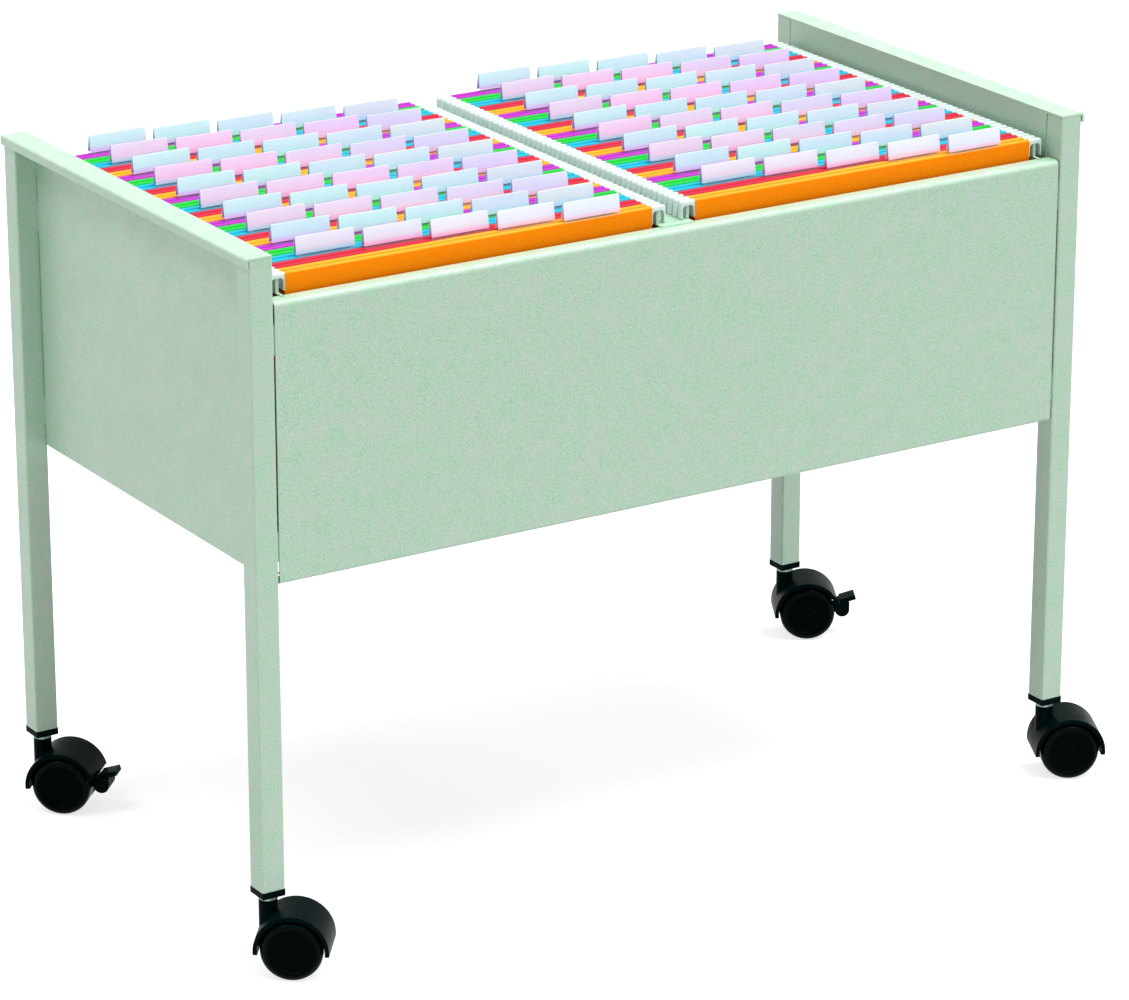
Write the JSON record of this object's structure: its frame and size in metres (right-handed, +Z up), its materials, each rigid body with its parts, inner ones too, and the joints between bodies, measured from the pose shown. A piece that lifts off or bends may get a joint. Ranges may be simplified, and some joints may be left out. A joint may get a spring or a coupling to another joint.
{
  "type": "hanging-file trolley",
  "caption": "Open-topped metal trolley on twin-wheel castors that carries hanging files in two rows, with label tabs and braked rear castors.",
  "frame": {"origin": "on the floor, below the middle of the frame", "axes": "+Z up, +X to the right along the front, +Y to the back"},
  "size_m": [0.8376, 0.4601, 0.583],
  "materials": {
    "frame_paint": "fine powder coat",
    "black_plastic": "satin",
    "black_wheel": "satin",
    "bright_steel": "zinc plated",
    "folder_card": "coloured card, five colours in turn",
    "white_plastic": "white hooks and clear tabs"
  },
  "bodies": {
    "frame": {"leg_front_left": "frame_paint", "leg_front_right": "frame_paint", "leg_rear_left": "frame_paint", "leg_rear_right": "frame_paint", "cap_left": "frame_paint", "cap_right": "frame_paint", "end_panel_left": "frame_paint", "end_panel_right": "frame_paint", "front_panel": "frame_paint", "rear_panel": "frame_paint", "rail_left": "frame_paint", "rail_centre": "frame_paint", "rail_right": "frame_paint", "plug_front_left": "black_plastic", "plug_front_right": "black_plastic", "plug_rear_left": "black_plastic", "plug_rear_right": "black_plastic"},
    "castor_front_left": {"castor_front_left_housing": "black_plastic", "castor_front_left_stem": "bright_steel", "castor_front_left_axle": "bright_steel"},
    "castor_front_left_wheel_near": {"castor_front_left_wheel_near": "black_wheel"},
    "castor_front_left_wheel_far": {"castor_front_left_wheel_far": "black_wheel"},
    "castor_front_right": {"castor_front_right_housing": "black_plastic", "castor_front_right_stem": "bright_steel", "castor_front_right_axle": "bright_steel"},
    "castor_front_right_wheel_near": {"castor_front_right_wheel_near": "black_wheel"},
    "castor_front_right_wheel_far": {"castor_front_right_wheel_far": "black_wheel"},
    "castor_rear_left": {"castor_rear_left_housing": "black_plastic", "castor_rear_left_stem": "bright_steel", "castor_rear_left_axle": "bright_steel"},
    "castor_rear_left_wheel_near": {"castor_rear_left_wheel_near": "black_wheel"},
    "castor_rear_left_wheel_far": {"castor_rear_left_wheel_far": "black_wheel"},
    "castor_rear_left_pedal": {"castor_rear_left_pedal": "black_plastic"},
    "castor_rear_right": {"castor_rear_right_housing": "black_plastic", "castor_rear_right_stem": "bright_steel", "castor_rear_right_axle": "bright_steel"},
    "castor_rear_right_wheel_near": {"castor_rear_right_wheel_near": "black_wheel"},
    "castor_rear_right_wheel_far": {"castor_rear_right_wheel_far": "black_wheel"},
    "castor_rear_right_pedal": {"castor_rear_right_pedal": "black_plastic"},
    "left_group_1": {"left_files_1": "folder_card", "left_hangers_1": "white_plastic"},
    "left_group_2": {"left_files_2": "folder_card", "left_hangers_2": "white_plastic"},
    "left_group_3": {"left_files_3": "folder_card", "left_hangers_3": "white_plastic"},
    "left_group_4": {"left_files_4": "folder_card", "left_hangers_4": "white_plastic"},
    "left_group_5": {"left_files_5": "folder_card", "left_hangers_5": "white_plastic"},
    "right_group_1": {"right_files_1": "folder_card", "right_hangers_1": "white_plastic"},
    "right_group_2": {"right_files_2": "folder_card", "right_hangers_2": "white_plastic"},
    "right_group_3": {"right_files_3": "folder_card", "right_hangers_3": "white_plastic"},
    "right_group_4": {"right_files_4": "folder_card", "right_hangers_4": "white_plastic"},
    "right_group_5": {"right_files_5": "folder_card", "right_hangers_5": "white_plastic"}
  },
  "joints": [
    {"name": "swivel_front_left", "type": "hinge", "parent": "frame", "child": "castor_front_left", "pos_m": [-0.3775, -0.195, 0.071], "axis": [0, 0, 1], "continuous": true},
    {"name": "spin_front_left_near", "type": "hinge", "parent": "castor_front_left", "child": "castor_front_left_wheel_near", "pos_m": [-0.36153, -0.20704, 0.025], "axis": [-0.6018, -0.7986, 0], "continuous": true},
    {"name": "spin_front_left_far", "type": "hinge", "parent": "castor_front_left", "child": "castor_front_left_wheel_far", "pos_m": [-0.36153, -0.20704, 0.025], "axis": [-0.6018, -0.7986, 0], "continuous": true},
    {"name": "swivel_front_right", "type": "hinge", "parent": "frame", "child": "castor_front_right", "pos_m": [0.3775, -0.195, 0.071], "axis": [0, 0, 1], "continuous": true},
    {"name": "spin_front_right_near", "type": "hinge", "parent": "castor_front_right", "child": "castor_front_right_wheel_near", "pos_m": [0.3954, -0.20392, 0.025], "axis": [-0.4462, -0.8949, 0], "continuous": true},
    {"name": "spin_front_right_far", "type": "hinge", "parent": "castor_front_right", "child": "castor_front_right_wheel_far", "pos_m": [0.3954, -0.20392, 0.025], "axis": [-0.4462, -0.8949, 0], "continuous": true},
    {"name": "swivel_rear_left", "type": "hinge", "parent": "frame", "child": "castor_rear_left", "pos_m": [-0.3775, 0.195, 0.071], "axis": [0, 0, 1], "continuous": true},
    {"name": "spin_rear_left_near", "type": "hinge", "parent": "castor_rear_left", "child": "castor_rear_left_wheel_near", "pos_m": [-0.36287, 0.18136, 0.025], "axis": [-0.682, -0.7314, 0], "continuous": true},
    {"name": "spin_rear_left_far", "type": "hinge", "parent": "castor_rear_left", "child": "castor_rear_left_wheel_far", "pos_m": [-0.36287, 0.18136, 0.025], "axis": [-0.682, -0.7314, 0], "continuous": true},
    {"name": "brake_rear_left", "type": "hinge", "parent": "castor_rear_left", "child": "castor_rear_left_pedal", "pos_m": [-0.33903, 0.15913, 0.025], "axis": [-0.682, -0.7314, 0], "range_deg": [-20, 0]},
    {"name": "swivel_rear_right", "type": "hinge", "parent": "frame", "child": "castor_rear_right", "pos_m": [0.3775, 0.195, 0.071], "axis": [0, 0, 1], "continuous": true},
    {"name": "spin_rear_right_near", "type": "hinge", "parent": "castor_rear_right", "child": "castor_rear_right_wheel_near", "pos_m": [0.39499, 0.1853, 0.025], "axis": [-0.4848, -0.8746, 0], "continuous": true},
    {"name": "spin_rear_right_far", "type": "hinge", "parent": "castor_rear_right", "child": "castor_rear_right_wheel_far", "pos_m": [0.39499, 0.1853, 0.025], "axis": [-0.4848, -0.8746, 0], "continuous": true},
    {"name": "brake_rear_right", "type": "hinge", "parent": "castor_rear_right", "child": "castor_rear_right_pedal", "pos_m": [0.42351, 0.1695, 0.025], "axis": [-0.4848, -0.8746, 0], "range_deg": [-20, 0]},
    {"name": "lift_left_group_1", "type": "slide", "parent": "frame", "child": "left_group_1", "axis": [0, 0, 1], "range_m": [0, 0.3]},
    {"name": "lift_left_group_2", "type": "slide", "parent": "frame", "child": "left_group_2", "axis": [0, 0, 1], "range_m": [0, 0.3]},
    {"name": "lift_left_group_3", "type": "slide", "parent": "frame", "child": "left_group_3", "axis": [0, 0, 1], "range_m": [0, 0.3]},
    {"name": "lift_left_group_4", "type": "slide", "parent": "frame", "child": "left_group_4", "axis": [0, 0, 1], "range_m": [0, 0.3]},
    {"name": "lift_left_group_5", "type": "slide", "parent": "frame", "child": "left_group_5", "axis": [0, 0, 1], "range_m": [0, 0.3]},
    {"name": "lift_right_group_1", "type": "slide", "parent": "frame", "child": "right_group_1", "axis": [0, 0, 1], "range_m": [0, 0.3]},
    {"name": "lift_right_group_2", "type": "slide", "parent": "frame", "child": "right_group_2", "axis": [0, 0, 1], "range_m": [0, 0.3]},
    {"name": "lift_right_group_3", "type": "slide", "parent": "frame", "child": "right_group_3", "axis": [0, 0, 1], "range_m": [0, 0.3]},
    {"name": "lift_right_group_4", "type": "slide", "parent": "frame", "child": "right_group_4", "axis": [0, 0, 1], "range_m": [0, 0.3]},
    {"name": "lift_right_group_5", "type": "slide", "parent": "frame", "child": "right_group_5", "axis": [0, 0, 1], "range_m": [0, 0.3]}
  ]
}
